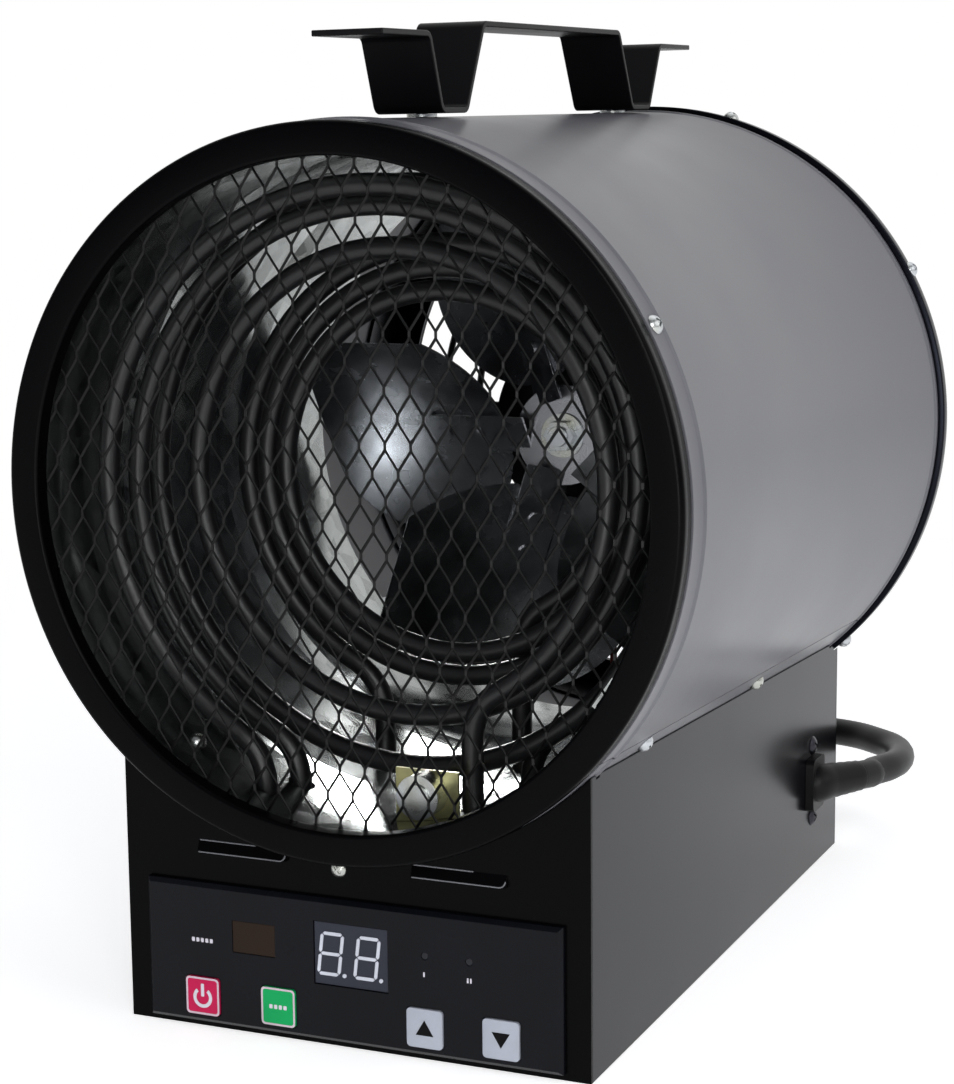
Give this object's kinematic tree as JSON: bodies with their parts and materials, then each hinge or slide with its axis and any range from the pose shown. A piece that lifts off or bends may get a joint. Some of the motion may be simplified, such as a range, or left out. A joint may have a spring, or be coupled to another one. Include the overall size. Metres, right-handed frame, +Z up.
{
  "type": "portable electric heater",
  "caption": "Portable electric garage heater: flared steel drum with wound heating elements and a fan, on a box base with a push-button panel, under a bent carrying strap.",
  "frame": {"origin": "on the floor, at the middle of the heater's box without its cord", "axes": "+Z up, +X to the right seen from the front, +Y to the rear along the drum's axis"},
  "size_m": [0.3102, 0.53, 0.3448],
  "materials": {
    "aluminium": "satin",
    "black_paint": "satin",
    "black_wire": "satin",
    "block_plastic": "matte",
    "board": "satin",
    "brass": "satin",
    "bright_sheet": "bright",
    "ceramic": "matte",
    "copper": "satin",
    "cord_rubber": "satin",
    "dark_screw": "satin",
    "display_light": "satin",
    "display_plastic": "gloss",
    "element_sheath": "satin",
    "green_plastic": "satin",
    "grey_paint": "gloss",
    "grey_plastic": "satin",
    "lamp_plastic": "satin",
    "lead_insulation": "satin",
    "moulded_plastic": "satin",
    "panel_plastic": "satin",
    "red_plastic": "satin",
    "relay_plastic": "satin",
    "switch_plastic": "matte",
    "transformer_steel": "satin",
    "window_plastic": "gloss",
    "yellow_zinc": "satin",
    "zinc_steel": "bright"
  },
  "bodies": {
    "heater": {"drum_casing": "grey_paint", "drum_cradle": "grey_paint", "seam_strips": "bright_sheet", "front_ring": "black_paint", "front_grille": "black_wire", "rear_ring": "black_paint", "rear_guard": "black_wire", "inner_liner": "bright_sheet", "element_outer": "element_sheath", "element_middle": "element_sheath", "element_inner": "element_sheath", "element_supports": "bright_sheet", "element_bushings": "brass", "terminal_insulators": "ceramic", "terminal_studs": "zinc_steel", "terminal_plate": "bright_sheet", "thermostat_bracket": "yellow_zinc", "limit_thermostat": "yellow_zinc", "motor_front_housing": "black_paint", "motor_rear_housing": "black_paint", "stator_core": "zinc_steel", "stator_windings": "copper", "motor_bearings": "zinc_steel", "motor_bracket": "black_paint", "motor_screws": "zinc_steel", "strap_bracket": "black_paint", "strap_flanges": "black_paint", "strap_screws": "zinc_steel", "base_body": "black_paint", "base_front": "black_paint", "base_rear": "black_paint", "control_bezel": "panel_plastic", "display_module": "display_plastic", "display_segments": "display_light", "infrared_window": "window_plastic", "panel_lamps": "lamp_plastic", "control_board": "board", "tact_switches": "switch_plastic", "power_board": "board", "relays": "relay_plastic", "transformer": "transformer_steel", "terminal_block": "block_plastic", "wiring": "lead_insulation", "drum_screws": "zinc_steel", "panel_screws": "zinc_steel", "strain_relief": "moulded_plastic", "relief_screws": "dark_screw", "cord": "cord_rubber", "cord_coil": "cord_rubber", "plug_body": "cord_rubber", "plug_blades": "brass"},
    "fan": {"fan_blades": "aluminium", "fan_spider": "aluminium", "blade_rivets": "aluminium", "fan_nut": "zinc_steel", "motor_rotor": "zinc_steel"},
    "power_key": {"power_button": "red_plastic"},
    "mode_key": {"mode_button": "green_plastic"},
    "up_key": {"up_button": "grey_plastic"},
    "down_key": {"down_button": "grey_plastic"}
  },
  "joints": [
    {"name": "fan_spin", "type": "hinge", "parent": "heater", "child": "fan", "pos_m": [0, 0, 0.186], "axis": [0, 1, 0], "continuous": true},
    {"name": "power_press", "type": "slide", "parent": "heater", "child": "power_key", "axis": [0, 1, 0], "range_m": [0, 0.0006], "stiffness_N_per_m": 400, "springref_m": -0.0005},
    {"name": "mode_press", "type": "slide", "parent": "heater", "child": "mode_key", "axis": [0, 1, 0], "range_m": [0, 0.0006], "stiffness_N_per_m": 400, "springref_m": -0.0005},
    {"name": "up_press", "type": "slide", "parent": "heater", "child": "up_key", "axis": [0, 1, 0], "range_m": [0, 0.0006], "stiffness_N_per_m": 400, "springref_m": -0.0005},
    {"name": "down_press", "type": "slide", "parent": "heater", "child": "down_key", "axis": [0, 1, 0], "range_m": [0, 0.0006], "stiffness_N_per_m": 400, "springref_m": -0.0005}
  ]
}
